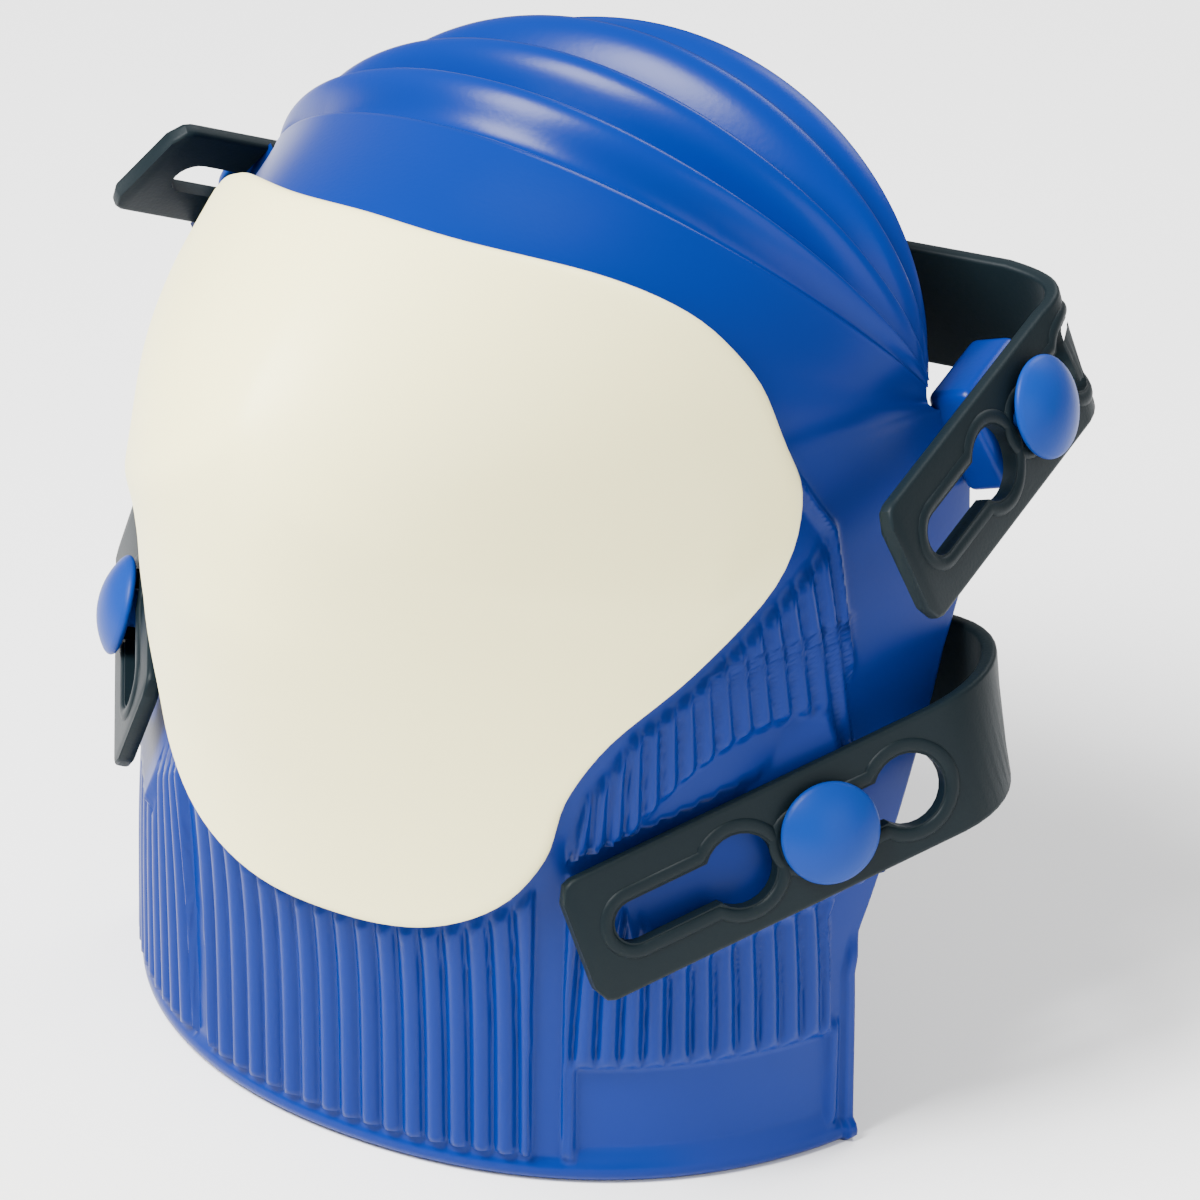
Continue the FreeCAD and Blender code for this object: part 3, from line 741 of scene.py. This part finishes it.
def plastic(name, colour, roughness, grain, shine=0.3, bump=0.02, shade=0.06):
    """A moulded plastic or rubber: faint mottling and a fine moulded grain."""
    material = bpy.data.materials.new(name)
    material.use_nodes = True
    nodes, links = material.node_tree.nodes, material.node_tree.links
    surface = nodes["Principled BSDF"]
    place = nodes.new("ShaderNodeTexCoord")
    mottle = nodes.new("ShaderNodeTexNoise")
    mottle.inputs["Scale"].default_value = 28.0
    mottle.inputs["Detail"].default_value = 4.0
    links.new(place.outputs["Object"], mottle.inputs["Vector"])
    mix = nodes.new("ShaderNodeMix")
    mix.data_type = "RGBA"
    mix.inputs["A"].default_value = (*[c * (1 - shade) for c in colour], 1)
    mix.inputs["B"].default_value = (*[min(c * (1 + shade), 1) for c in colour], 1)
    links.new(mottle.outputs["Fac"], mix.inputs["Factor"])
    links.new(mix.outputs["Result"], surface.inputs["Base Color"])
    fine = nodes.new("ShaderNodeTexNoise")
    fine.inputs["Scale"].default_value = grain
    fine.inputs["Detail"].default_value = 2.0
    links.new(place.outputs["Object"], fine.inputs["Vector"])
    relief = nodes.new("ShaderNodeBump")
    relief.inputs["Strength"].default_value = bump
    relief.inputs["Distance"].default_value = 0.0005
    links.new(fine.outputs["Fac"], relief.inputs["Height"])
    links.new(relief.outputs["Normal"], surface.inputs["Normal"])
    surface.inputs["Roughness"].default_value = roughness
    surface.inputs["Specular IOR Level"].default_value = shine
    return material


BLUE = plastic("blue_plastic", (0.0001, 0.0150, 0.150), 0.30, 900, 0.14, 0.04)
STUD_BLUE = plastic("stud_blue", (0.002, 0.029, 0.200), 0.42, 1200, 0.12, 0.04)
CREAM = plastic("cream_plastic", (0.99, 0.91, 0.47), 0.40, 700, 0.3, 0.03, 0.02)
RUBBER = plastic("black_rubber", (0.003, 0.0075, 0.010), 0.5, 1500, 0.12, 0.08)
FOAM = plastic("foam", (0.03, 0.03, 0.033), 0.9, 2600, 0.1, 0.6, 0.25)
STEEL = plastic("spring_steel", (0.55, 0.55, 0.56), 0.3, 900, 0.5, 0.05)
STEEL.node_tree.nodes["Principled BSDF"].inputs["Metallic"].default_value = 1.0


def paint(piece, material):
    """One material on every slot of a piece."""
    if not piece.data.materials:
        piece.data.materials.append(material)
    for n in range(len(piece.data.materials)):
        piece.data.materials[n] = material


# ------------------------------------------------------------------ build

shell, surface = make_shell()
cast = make_caster(surface, 0.0)
cap = make_cap(make_caster(surface, 2.3))
knee_foam = make_foam("knee_pad_foam", "knee_cushion", cast, inset=15.0, thickness=9.0, half=44.5,
                      low=88.5, high=163.5, quilts=(-0.45, 0.0, 0.45))
shin_foam = make_foam("shin_pad_foam", "shin_cushion", cast, inset=3.4, thickness=8.0, half=53.0,
                      low=8.5, high=62.5, quilts=(-0.6, -0.2, 0.2, 0.6))
for corner, place in PLACES.items():
    paint(make_stud(corner, place), STUD_BLUE)
    paint(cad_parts[corner + "_washer"], STUD_BLUE)
make_strap("upper_strap", PLACES["upper_right"], PLACES["upper_left"], {
    "straight": 13.0, "pull": 9.0, "up": (0, -0.1, 1),
    "right_cross": (66, 122, 138), "left_cross": (-62, 122, 126)})
make_strap("lower_strap", PLACES["lower_right"], PLACES["lower_left"], {
    "straight": 25.0, "pull": 13.0, "up": (0, 0.05, 1),
    "right_cross": (76, 88, 80), "left_cross": (-76, 88, 80)})
paint(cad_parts["push_nuts"], STEEL)
paint(shell, BLUE)
paint(make_block("upper_right", 10.5), BLUE)
paint(make_block("upper_left", 14.5), BLUE)
paint(cap, CREAM)
make_pegs(cast)
paint(knee_foam, FOAM)
paint(shin_foam, FOAM)

# ------------------------------------------------------------------ stage, light and camera

FLOOR_HALF = 4000
FLOOR_DROP = -0.1
floor_corners = []
for x, y in ((-1, -1), (1, -1), (1, 1), (-1, 1)):
    floor_corners.append((x * FLOOR_HALF, y * FLOOR_HALF, FLOOR_DROP))
floor = mesh_object("floor", floor_corners, [(0, 1, 2, 3)], soft=False)
paint(floor, plastic("paper", (0.97, 0.97, 0.97), 0.9, 300, 0.1, 0.0, 0.005))

world = bpy.data.worlds.new("studio")
world.use_nodes = True
background = world.node_tree.nodes["Background"]
background.inputs["Color"].default_value = (1, 1, 1, 1)
background.inputs["Strength"].default_value = 0.58
bpy.context.scene.world = world


def softbox(name, place, target, size, power):
    """A square soft light aimed at a point."""
    light = bpy.data.lights.new(name, "AREA")
    light.shape = "SQUARE"
    light.size = size
    light.energy = power
    lamp = bpy.data.objects.new(name, light)
    lamp.location = place
    lamp.rotation_euler = (Vector(target) - Vector(place)).to_track_quat("-Z", "Y").to_euler()
    bpy.context.scene.collection.objects.link(lamp)


CENTRE = (0, 0.04, 0.1)
softbox("key", (-0.35, -0.6, 1.15), CENTRE, 0.6, 68)
softbox("fill", (1.1, -0.3, 0.5), CENTRE, 0.9, 8)
softbox("back", (0.1, 0.9, 0.9), CENTRE, 0.6, 10)

CAMERA_AWAY = 1.5
CAMERA_ROLL = math.radians(1)
SHIFT_RIGHT = 0.0241
SHIFT_DOWN = 0.0026
aim = Vector((0.4505, -0.7497, 0.4848)).normalized()
right = Vector((0.857, 0.515, 0)).normalized()
above = aim.cross(right)
target = Vector((0, 0.03875, 0.1)) + right * SHIFT_RIGHT - above * SHIFT_DOWN
lens = bpy.data.cameras.new("camera")
lens.lens = 243
lens.sensor_width = 36
lens.clip_start = 0.01
camera = bpy.data.objects.new("camera", lens)
camera.rotation_mode = "QUATERNION"
level = Matrix((right, above, aim)).transposed().to_quaternion()
camera.rotation_quaternion = level @ Quaternion((0, 0, 1), CAMERA_ROLL)
camera.location = target + aim * CAMERA_AWAY
bpy.context.scene.collection.objects.link(camera)
bpy.context.scene.camera = camera
